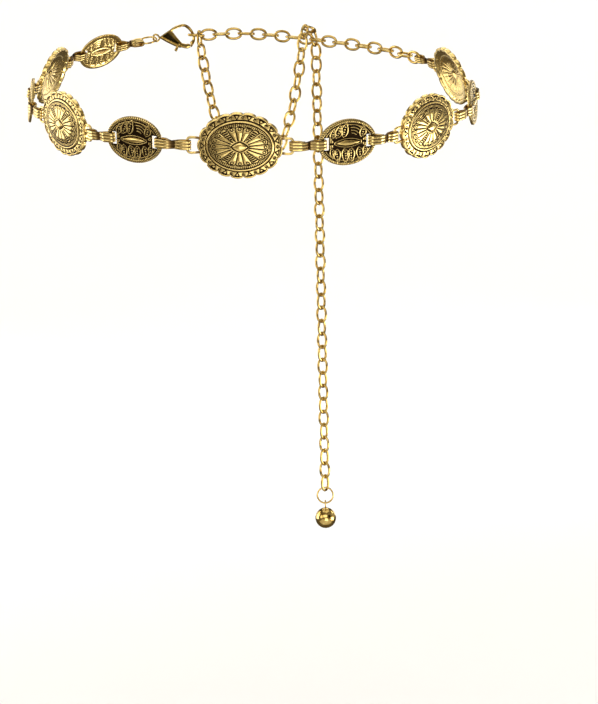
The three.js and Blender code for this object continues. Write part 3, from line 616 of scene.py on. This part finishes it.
def hook(bend, bar_width=5.0, slot_width=5.0, quarter=False):
    """A ribbed strip bent to an S: its middle line runs round the lug's bar, slants through the neck and runs round
    the slot's web. The section has three half-round ribs on both faces. Each half is then turned about its own end
    by its share of the bend, in degrees, and `quarter` twists the bar's half a quarter turn."""
    bar_r, slot_r, bar_x, slot_x, neck_x = 1.62, 2.05, -0.3, 15.2, 7.3
    slant = lambda x: -bar_r + (bar_r + slot_r) * ramp(x, 3.4, 11.2)
    x_a = np.linspace(bar_x, slot_x, 40)
    strand = np.stack([x_a, slant(x_a)], -1)
    turn = np.linspace(90, 270, 15)[1:-1] * math.pi / 180
    bar = np.stack([bar_x + bar_r * np.cos(turn), bar_r * np.sin(turn)], -1)
    slot = np.stack([slot_x + slot_r * np.cos(turn - math.pi), -slot_r * np.sin(turn - math.pi)], -1)
    x_b = np.linspace(6.2, bar_x, 12)
    tail_b = np.stack([x_b, bar_r - (bar_r - slant(6.2) - 0.95) * ramp(x_b, 2.4, 6.2)], -1)
    x_c = np.linspace(slot_x, 8.4, 12)
    tail_c = np.stack([x_c, -slot_r + (slant(8.4) - 0.95 + slot_r) * (1 - ramp(x_c, 8.4, 12.4))], -1)
    flat = smooth_curve(np.concatenate([tail_b, bar, strand, slot, tail_c]), 84)
    along = units(np.gradient(flat, axis=0))
    out = np.stack([along[:, 1], -along[:, 0], 0 * along[:, 0]], -1)
    path = np.stack([flat[:, 0], flat[:, 1], 0 * flat[:, 0]], -1)
    across = np.linspace(-1, 1, 22)
    rib = np.sqrt(np.clip(1 - (2 * ((across * 1.5 + 0.5) % 1) - 1) ** 2, 0, 1))
    rib = 0.16 + 0.30 * rib
    rib[0] = rib[-1] = 0.1
    section = np.concatenate([np.stack([rib, across], -1), np.stack([-rib, across], -1)[::-1]])
    groove = np.concatenate([1 - (rib - 0.16) / 0.30] * 2) * 0.75
    width = np.interp(path[:, 0], [2, neck_x, 12], [bar_width, min(bar_width, slot_width) * 0.92, slot_width]) / 2
    side = UP[None, :] * width[:, None]
    co, quads, caps = swept(path, out, side, section, closed=False)
    if quarter:
        roll = (math.pi / 2) * (1 - ramp(co[:, 0], 3.2, 9.4))
        y, z = co[:, 1].copy(), co[:, 2].copy()
        co[:, 1], co[:, 2] = y * np.cos(roll) - z * np.sin(roll), y * np.sin(roll) + z * np.cos(roll)
    share = ramp(co[:, 0], neck_x - 2, neck_x + 2)
    neck = neck_x / HOOK_REACH
    turned = []
    for pivot, angle in ((0.0, -math.radians(bend) * (1 - neck)), (HOOK_REACH, math.radians(bend) * neck)):
        dx = co[:, 0] - pivot
        turned.append(np.stack([pivot + dx * math.cos(angle) - co[:, 1] * math.sin(angle),
                                dx * math.sin(angle) + co[:, 1] * math.cos(angle), co[:, 2]], -1))
    co = turned[0] * (1 - share[:, None]) + turned[1] * share[:, None]
    hollow = np.concatenate([np.tile(groove, len(path)), [0.6, 0.6]])
    places = np.concatenate([np.repeat(path[:, 0], len(section)), [6, 8]])
    hollow = np.maximum(hollow, 0.75 * ridge(places - 7.6, 1.5))
    heap = Heap()
    heap.add(co, quads, caps, hollow)
    return heap


def hook_placer(bar, slot, up):
    """Puts a hook's ends on the joint with a lug's bar and the joint with a slot."""
    x = unit(slot - bar)
    y = unit(np.cross(up, x))
    return placer(x, y, np.cross(x, y), bar)


LARGE_FORM, SMALL_FORM = large_concho(), small_concho()
for i, (name, large, *_rest) in enumerate(CONCHOS):
    form = LARGE_FORM if large else SMALL_FORM
    form.piece("dress_" + name, ANTIQUE, "belt", [name], placer(*concho_axes(i), CENTRES[i]))

for i in range(len(CONCHOS) - 1):
    left, right = belt_end(i, 1), belt_end(i + 1, -1)
    up = concho_axes(i)[2] + concho_axes(i + 1)[2]
    bar, slot = (left, right) if CONCHOS[i][1] else (right, left)
    bend = 0.95 * (CONCHOS[i + 1][2] - CONCHOS[i][2]) * (1 if CONCHOS[i][1] else -1)
    hook(bend).piece("dress_hook_%02d" % (i + 2), ANTIQUE, "belt", ["hook_%02d" % (i + 2)], hook_placer(bar, slot, up))

clasp_slot = belt_end(0, -1)
clasp_bar = clasp_slot + HOOK_REACH * heading(31.5)
clasp_bar[2] = 1.4
place = hook_placer(clasp_bar, clasp_slot, concho_axes(0)[2])
hook(11, bar_width=4.6, quarter=True).piece("dress_hook_01", ANTIQUE, "belt", ["hook_01"], place)
CHAIN_HEADING = heading(124)
chain_bar = belt_end(len(CONCHOS) - 1, 1)
chain_slot = chain_bar + HOOK_REACH * CHAIN_HEADING
chain_slot[2] = 3
place = hook_placer(chain_bar, chain_slot, concho_axes(len(CONCHOS) - 1)[2])
hook(12, slot_width=4.0).piece("dress_hook_11", ANTIQUE, "belt", ["hook_11"], place)


# ---------------------------------------------------------------- clasp

CLASP_EYE = to_world([-64.6, 105.6, 3])
CLASP_RISE = math.radians(6.7)
CLASP_ALONG = heading(29) * math.cos(CLASP_RISE) + UP * math.sin(CLASP_RISE)
CLASP_DEPTH = unit(np.cross(CLASP_ALONG, UP))
CLASP_UP = np.cross(CLASP_DEPTH, CLASP_ALONG)


def on_clasp(co):
    """From the clasp's own millimetres, measured from its eye, to the world."""
    return co @ np.stack([CLASP_ALONG, CLASP_UP, CLASP_DEPTH]) + CLASP_EYE


# outer and inner edge of the clasp's band, from the lever's pivot round the plate, the back and the nose
BAND = [((16.6, -7.5), (17.7, -4.5)), ((12.6, -6.0), (16.6, -3.0)), ((8.6, -3.9), (15.2, -1.2)),
        ((5.0, -1.7), (14.0, 0.5)), ((2.5, 0.0), (12.9, 2.0)), ((5.0, 1.7), (12.2, 3.1)), ((9.4, 4.0), (12.8, 4.2)),
        ((15.4, 7.0), (15.8, 5.3)), ((21.3, 7.8), (21.3, 6.2)), ((25.2, 5.6), (24.4, 4.0)), ((27.6, 1.6), (26.2, 1.2)),
        ((28.3, -1.0), (26.6, -1.0)), ((27.6, -4.0), (26.0, -3.0)), ((24.9, -7.5), (24.5, -4.0))]


def clasp_band():
    """The claw: a rounded oblong section carried round between the band's outer and inner edge. Its depth falls from
    3.9 mm at the plate to 2.2 mm at the nose."""
    outer = smooth_curve([row[0] for row in BAND], 120)
    inner = smooth_curve([row[1] for row in BAND], 120)
    middle, across = (outer + inner) / 2, (outer - inner) / 2
    depth = np.interp(middle[:, 0], [0, 16, 28], [1.75, 1.95, 1.1])
    a = TURN * np.arange(28) / 28
    flat = lambda v, power: np.sign(v) * np.abs(v) ** power
    power = np.interp(np.linalg.norm(across, axis=1), [0.8, 4.0], [0.8, 0.35])[:, None]
    sx, sy = flat(np.cos(a)[None, :], power), flat(np.sin(a)[None, :], 0.75) * np.ones_like(power)
    co = np.stack([middle[:, None, 0] + sx * across[:, None, 0], middle[:, None, 1] + sx * across[:, None, 1],
                   sy * depth[:, None]], -1)
    rows, columns = co.shape[:2]
    ends = np.stack([co[0].mean(0), co[-1].mean(0)])
    return np.concatenate([co.reshape(-1, 3), ends]), grid_quads(rows, columns), end_fans(rows, columns)


def domed_pin(x, y, radius, half_depth, columns=20):
    """A pin across the clasp: a profile of radius against depth, turned about its axis."""
    profile = np.array([[0.02, -1], [0.6, -0.97], [0.95, -0.86], [1, -0.7], [1, 0.7], [0.95, 0.86], [0.6, 0.97],
                        [0.02, 1]]) * [radius, half_depth]
    return turned(*profile.T, columns) + [x, y, 0], grid_quads(len(profile), columns)


claw = Heap()
claw.add(*clasp_band())
eye, eye_quads, _ = oval_wire(2.2, 2.2, 0.62, bends=32, sides=10)
claw.add(eye, eye_quads)
claw.add(*domed_pin(15.2, -5.3, 0.75, 2.05))
claw.piece("dress_clasp_body", BRIGHT, "belt", ["clasp_body"], on_clasp)


def clasp_lever():
    """The thumb lever: an oval section carried along the gate from the hub to the tip, and a short thumb piece that
    swells to a rounded end."""
    path = smooth_curve([(14.4, -5.2), (16.0, -5.5), (18.4, -6.1), (21.0, -6.75), (22.6, -6.6), (23.6, -6.2)], 40)
    along = units(np.gradient(path, axis=0))
    out = np.stack([-along[:, 1], along[:, 0], 0 * along[:, 0]], -1)
    half = np.interp(path[:, 0], [14.4, 15.2, 17.5, 21.5, 23.2, 23.7], [1.3, 1.75, 1.5, 1.55, 1.45, 0.9])
    thick = np.interp(path[:, 0], [14, 17, 23.6], [0.9, 1.15, 0.95])
    section = circle(16)[None] * np.stack([half, thick], -1)[:, None]
    gate = np.stack([path[:, 0], path[:, 1], 0 * path[:, 0]], -1)
    heap = Heap()
    heap.add(*swept(gate, out, np.tile(UP, (len(gate), 1)), section, closed=False))
    thumb = np.array([(14.8, -6.0, 0), (14.1, -7.4, 0), (13.3, -8.5, 0), (12.75, -9.1, 0)])
    heap.add(*open_wire(thumb, [0.95, 0.9, 1.0], sides=14, samples=16))
    return heap


clasp_lever().piece("dress_clasp_lever", BRIGHT, "lever", ["clasp_lever"], on_clasp)

# half length of the jump ring, and how far its end stays short of the middle of the clasp's eye
JUMP_HALF, JUMP_SHORT = 5.7, 0.35
jump_along = unit(CLASP_EYE - to_world(clasp_bar))
jump_centre = CLASP_EYE - jump_along * (JUMP_HALF + JUMP_SHORT)
jump_up = unit(np.cross(np.cross(jump_along, to_world(concho_axes(0)[2] + UP)), jump_along))
ring, ring_quads, _ = oval_wire(JUMP_HALF, 4.1, 0.6)
add_piece("dress_jump_ring", ring @ np.stack([jump_along, np.cross(jump_up, jump_along), jump_up]) + jump_centre,
          ring_quads, [], BRIGHT, "belt", ["jump_ring"])


# ---------------------------------------------------------------- chain

LINK, LINK_QUADS, _ = oval_wire(5.12, 3.3, 0.85, roundness=0.94)
# half the length over which a link follows its chain's curve
HALF_CHORD = 4.4
# how far a link is rolled out of square about its own length, in degrees, repeating down the chain
ROLLS = (42, 34, 47, 30, 38, 36, 44, 28, 40, 35, 46, 31)


def link_rows(heap, centres, alongs, acrosses, loose=1.0):
    """Copies of one link: each has its long side along its direction and its hole across the other, rolled a little
    about its length as the chain twists; `loose` scales the roll."""
    for i, (centre, along, across) in enumerate(zip(centres, alongs, acrosses)):
        x = unit(along)
        z = unit(np.cross(x, across))
        roll = math.radians(ROLLS[i % len(ROLLS)]) * loose
        z = z * math.cos(roll) + np.cross(x, z) * math.sin(roll)
        heap.add(LINK @ np.stack([x, np.cross(z, x), z]) + centre, LINK_QUADS)


def along_curve(points, count):
    """Centres and directions of links at even steps of arc, the curve's two ends included."""
    at = np.linspace(0, arc_lengths(points)[-1], count)
    return walk(points, at), units(walk(points, at + HALF_CHORD) - walk(points, at - HALF_CHORD))


# the waist chain runs from the link in the clasp's nose to the link on the last hook
FIRST_LINK = CLASP_EYE + 29.4 * CLASP_ALONG
FIRST_HEADING = heading(26)
hook_end = chain_bar + unit(chain_slot - chain_bar) * HOOK_END
last_link = to_world(hook_end + 1.9 * CHAIN_HEADING)
waist_points = [[-12.1, 122.3, 3], [6, 120.9, 3], [23.5, 115.2, 3], [38.5, 109.5, 3], [51.3, 103.8, 3], [65, 97.3, 3],
                [78.4, 89.3, 3], [90.9, 80.4, 3]]
waist_curve = smooth_curve([FIRST_LINK, *to_world(waist_points), last_link], 400)
waist, waist_dirs = along_curve(waist_curve, 20)
waist_dirs[0] = FIRST_HEADING
sides = [UP if i % 2 else np.cross(UP, d) for i, d in enumerate(waist_dirs)]
chain = Heap()
link_rows(chain, waist, waist_dirs, sides, 0.3)
chain.piece("dress_chain_waist", BRIGHT, "belt", ["chain_waist_%d" % i for i in range(1, 6)])

# five links go over the waist chain beside its tenth link: their joints, out and up from the crossing
OVER, BESIDE = heading(60), heading(-30)
crossing = waist[9] + 2.5 * BESIDE
OVER_JOINTS = np.array([(-9.6, -8.6), (-8.5, 0.0), (-3.2, 6.9), (5.0, 5.0), (8.3, -3.1), (9.6, -11.7)])
joints = crossing + OVER_JOINTS[:, :1] * OVER + OVER_JOINTS[:, 1:] * UP
over_centres = (joints[1:] + joints[:-1]) / 2
over_dirs = joints[1:] - joints[:-1]
sides = [np.cross(d, BESIDE) if i % 2 else BESIDE for i, d in enumerate(over_dirs)]
chain = Heap()
link_rows(chain, over_centres, over_dirs, sides, 0.0)
chain.piece("dress_chain_over", BRIGHT, "belt", ["chain_over_1"])


def hanging_curve(start, end, length, samples=400):
    """A chain hanging between two points: height follows the hyperbolic cosine whose arc has the given length."""
    level = (end - start) * [1, 1, 0]
    span, drop = np.linalg.norm(level), end[2] - start[2]
    taut = math.sqrt(length ** 2 - drop ** 2)
    low, high = span / 40, span * 40
    for _ in range(80):
        middle = (low + high) / 2
        low, high = (middle, high) if 2 * middle * math.sinh(span / (2 * middle)) > taut else (low, middle)
    begin = low * math.atanh(drop / length) - span / 2
    share = np.linspace(0, 1, samples)[:, None]
    points = start + level * share
    points[:, 2:] = start[2] + low * (np.cosh((begin + span * share) / low) - math.cosh(begin / low))
    return points


# the swag hangs from the side of the first link to the first of the links that go over the waist chain
SWAG_LENGTH = 192.0
first_across = heading(116)
swag_start = FIRST_LINK - 3.63 * first_across + 0.8 * FIRST_HEADING - 3.0 * UP
swag, swag_dirs = along_curve(hanging_curve(swag_start, over_centres[0], SWAG_LENGTH), 24)
swag, swag_dirs = swag[:-1], swag_dirs[:-1]
swag_dirs[0] = -UP
plane = unit((over_centres[0] - swag_start) * [1, 1, 0])
sides = [first_across] + [np.cross(d, np.cross(plane, UP)) if i % 2 == 0 else np.cross(UP, plane)
                          for i, d in enumerate(swag_dirs[1:])]
chain = Heap()
link_rows(chain, swag, swag_dirs, sides)
chain.piece("dress_chain_swag", BRIGHT, "belt", ["chain_swag_%d" % i for i in range(1, 7)])

ring_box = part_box("end_ring")
ring_centre = (np.array(ring_box[0]) + np.array(ring_box[1])) / 2 / MM
# links of the tail, and the height of the last one's middle over the ring's
TAIL_LINKS, LAST_RISE = 33, 8.45
tail_top = over_centres[-1]
tail_z = np.linspace(tail_top[2], ring_centre[2] + LAST_RISE, TAIL_LINKS + 1)[1:]
tail = np.stack([np.full(TAIL_LINKS, tail_top[0]), np.full(TAIL_LINKS, tail_top[1]), tail_z], -1)
# the upper links turn from the waist chain's heading to square with the front
turns = [60 + 30 * min(1, (i + 1) / 6) for i in range(TAIL_LINKS)]
chain = Heap()
link_rows(chain, tail, [-UP] * TAIL_LINKS, [heading(t if i % 2 == 0 else t - 90) for i, t in enumerate(turns)])
chain.piece("dress_chain_tail", BRIGHT, "belt", ["chain_tail_%d" % i for i in range(1, 10)])

RING_RADIUS = 5.3
loop, loop_quads, _ = oval_wire(RING_RADIUS, RING_RADIUS, 0.55, bends=40, sides=10)
add_piece("dress_end_ring", loop[:, [0, 2, 1]] * [1, -1, 1] + ring_centre, loop_quads, [], BRIGHT, "ring", ["end_ring"])


def ball():
    """A polished ball: circles of latitude from pole to pole, with a small eye of wire on top. It hangs from the
    origin, which is the foot of the ring."""
    radius, drop, columns = 7.0, 10.1, 48
    down = np.linspace(0, math.pi, 34)[1:-1]
    co = turned(radius * np.sin(down), radius * np.cos(down), columns)
    co = np.concatenate([co, [[0, 0, radius], [0, 0, -radius]]]) - [0, 0, drop]
    heap = Heap()
    heap.add(co, grid_quads(len(down), columns)[:, ::-1], end_fans(len(down), columns)[:, ::-1])
    loop, quads, _ = oval_wire(2.4, 1.6, 0.45, bends=24)
    heap.add(loop[:, [2, 1, 0]] * [1, 1, -1] - [0, 0, 0.74], quads)
    return heap


foot = ring_centre - [0, 0, RING_RADIUS]
ball().piece("dress_ball", BRIGHT, "pendant", ["ball"], lambda co: co + foot)


# ---------------------------------------------------------------- stage, lights and camera

def stage_material(name, color, roughness):
    """Matt painted studio surface."""
    material, tree = new_material(name)
    finish_material(tree, node(tree, "ShaderNodeBsdfPrincipled", Base_Color=rgb(color), Roughness=roughness))
    return material


def facing(place, target):
    """Placement whose local -Z looks from a place to a target, with local Y upright."""
    back = unit(np.array(place) - np.array(target))
    right = unit(np.cross(UP, back))
    return Matrix(np.vstack([np.column_stack([right, np.cross(back, right), back, place]), [0, 0, 0, 1]]).tolist())


def studio_bowl():
    """A pale floor that curves up into a round wall far from the belt: a profile of radius and height, turned. All
    in metres, like the lights."""
    floor, columns = -0.42, 96
    bend = np.radians(np.linspace(0, 90, 16))
    radius = np.concatenate([[0.05, 1.5, 3.0, 4.5], 4.5 + 2.0 * np.sin(bend[1:]), [6.5]])
    height = np.concatenate([[0, 0, 0, 0], 2.0 * (1 - np.cos(bend[1:])), [4.5]]) + floor
    co = turned(radius, height, columns)
    mesh = bpy.data.meshes.new("studio_bowl")
    mesh.from_pydata(np.concatenate([co, [[0, 0, floor]]]).tolist(), [],
                     grid_quads(len(radius), columns)[:, ::-1].tolist() + fan(len(co), np.arange(columns)).tolist())
    mesh.polygons.foreach_set("use_smooth", np.ones(len(mesh.polygons), bool))
    mesh.materials.append(stage_material("pale_studio_paper", "#f7f6f3", 0.9))
    bowl = add_object("studio_bowl", mesh)
    bowl.visible_glossy = False


studio_bowl()


def softbox(name, place, target, width, height, power):
    """A rectangular soft white light at a place, turned to a target."""
    light = bpy.data.lights.new(name, "AREA")
    light.shape, light.size, light.size_y, light.energy = "RECTANGLE", width, height, power
    add_object(name, light).matrix_world = facing(place, target)


def dark_flag(name, place, target, width, height):
    """A black flag beside the camera: the metal reflects it, the camera doesn't see it."""
    mesh = bpy.data.meshes.new(name)
    mesh.from_pydata([(-width / 2, -height / 2, 0), (width / 2, -height / 2, 0), (width / 2, height / 2, 0),
                      (-width / 2, height / 2, 0)], [], [(0, 3, 2, 1)])
    mesh.materials.append(stage_material(name + "_cloth", "#100e0c", 0.95))
    flag = add_object(name, mesh)
    flag.matrix_world = facing(place, target)
    flag.visible_camera = flag.visible_shadow = flag.visible_diffuse = False


dark_flag("flag_right_front", (1.45, -1.4, 0.5), (0, 0, 0), 0.9, 1.2)

# name, place and target in metres, width, height, power in watts
LIGHTS = [
    ("softbox_left", (-2.1, 0.7, 0.4), (0, 0, -0.05), 1.8, 2.2, 32),
    ("softbox_left_front", (-1.9, -1.45, 0.5), (0, 0, -0.05), 1.2, 1.3, 9),
    ("softbox_top", (0.1, 0.2, 2.3), (0, 0, 0), 2.2, 2.2, 16),
    ("softbox_right", (2.2, 0.5, 0.4), (0, 0, -0.05), 1.6, 2.2, 4),
    ("softbox_front", (-0.3, -2.4, 1.0), (0, 0, -0.05), 2.2, 1.4, 18),
    ("softbox_low", (0.12, -0.60, -0.40), (0.05, -0.05, 0), 0.4, 0.4, 1),
    ("softbox_low_right", (0.75, -0.05, -0.36), (-0.10, 0.08, 0), 0.5, 0.35, 3.8),
    ("softbox_under", (0.05, -0.15, -0.41), (0.05, -0.05, 0), 0.7, 0.45, 0.55),
    ("softbox_back_left", (-2.5, 4.2, 0.5), (0, 0, 0), 2.0, 1.8, 15),
    ("softbox_back_right", (2.6, 4.2, 0.5), (0, 0, 0), 2.0, 1.8, 27),
    ("wall_light_left", (-2.6, 1.6, 1.8), (-0.8, 6.0, -0.2), 1.5, 1.5, 66),
    ("wall_light_right", (2.6, 1.6, 1.8), (0.8, 6.0, -0.2), 1.5, 1.5, 66),
    ("floor_light", (0, 3.6, 3.4), (0, 3.4, 0), 3.0, 2.0, 52),
]
for light in LIGHTS:
    softbox(*light)


def studio_air():
    """The room's own light: bright on the camera's side and dim beyond the belt, which darkens the edges of the
    round wires."""
    world = bpy.data.worlds.new("studio_air")
    world.use_nodes = True
    tree = world.node_tree
    background = tree.nodes["Background"]
    background.inputs["Color"].default_value = rgb("#fff1d8")
    way = node(tree, "ShaderNodeTexCoord").outputs["Generated"]
    depth = node(tree, "ShaderNodeSeparateXYZ", [(way, 0)]).outputs["Y"]
    dim = node(tree, "ShaderNodeMapRange", [(depth, "Value")], From_Min=-1.0, From_Max=1.0, To_Min=0.31, To_Max=0.08)
    tree.links.new(dim.outputs[0], background.inputs["Strength"])
    return world


bpy.context.scene.world = studio_air()
bpy.context.scene.view_settings.view_transform = "Standard"

# the lens is given as the focal length in pixels of a picture this high
FOCAL_PIXELS, PICTURE_HEIGHT, SENSOR = 1518.24, 704, 36.0
CAMERA_PLACE = np.array([26.7, -913.7, -111.5]) * MM
PITCH, SWAY = math.radians(-3.0), math.radians(-1.26)

camera_data = bpy.data.cameras.new("camera")
camera_data.sensor_width = camera_data.sensor_height = SENSOR
camera_data.sensor_fit = "AUTO"
camera_data.lens = FOCAL_PIXELS * SENSOR / PICTURE_HEIGHT
camera_data.clip_start, camera_data.clip_end = 0.05, 50
camera = add_object("camera", camera_data)
forward = np.array([0, math.cos(PITCH), math.sin(PITCH)])
right, upward = np.array([1.0, 0, 0]), np.cross([1.0, 0, 0], forward)
tilted_right = math.cos(SWAY) * right + math.sin(SWAY) * upward
tilted_up = -math.sin(SWAY) * right + math.cos(SWAY) * upward
columns = np.column_stack([tilted_right, tilted_up, -forward, CAMERA_PLACE])
camera.matrix_world = Matrix(np.vstack([columns, [0, 0, 0, 1]]).tolist())
bpy.context.scene.camera = camera
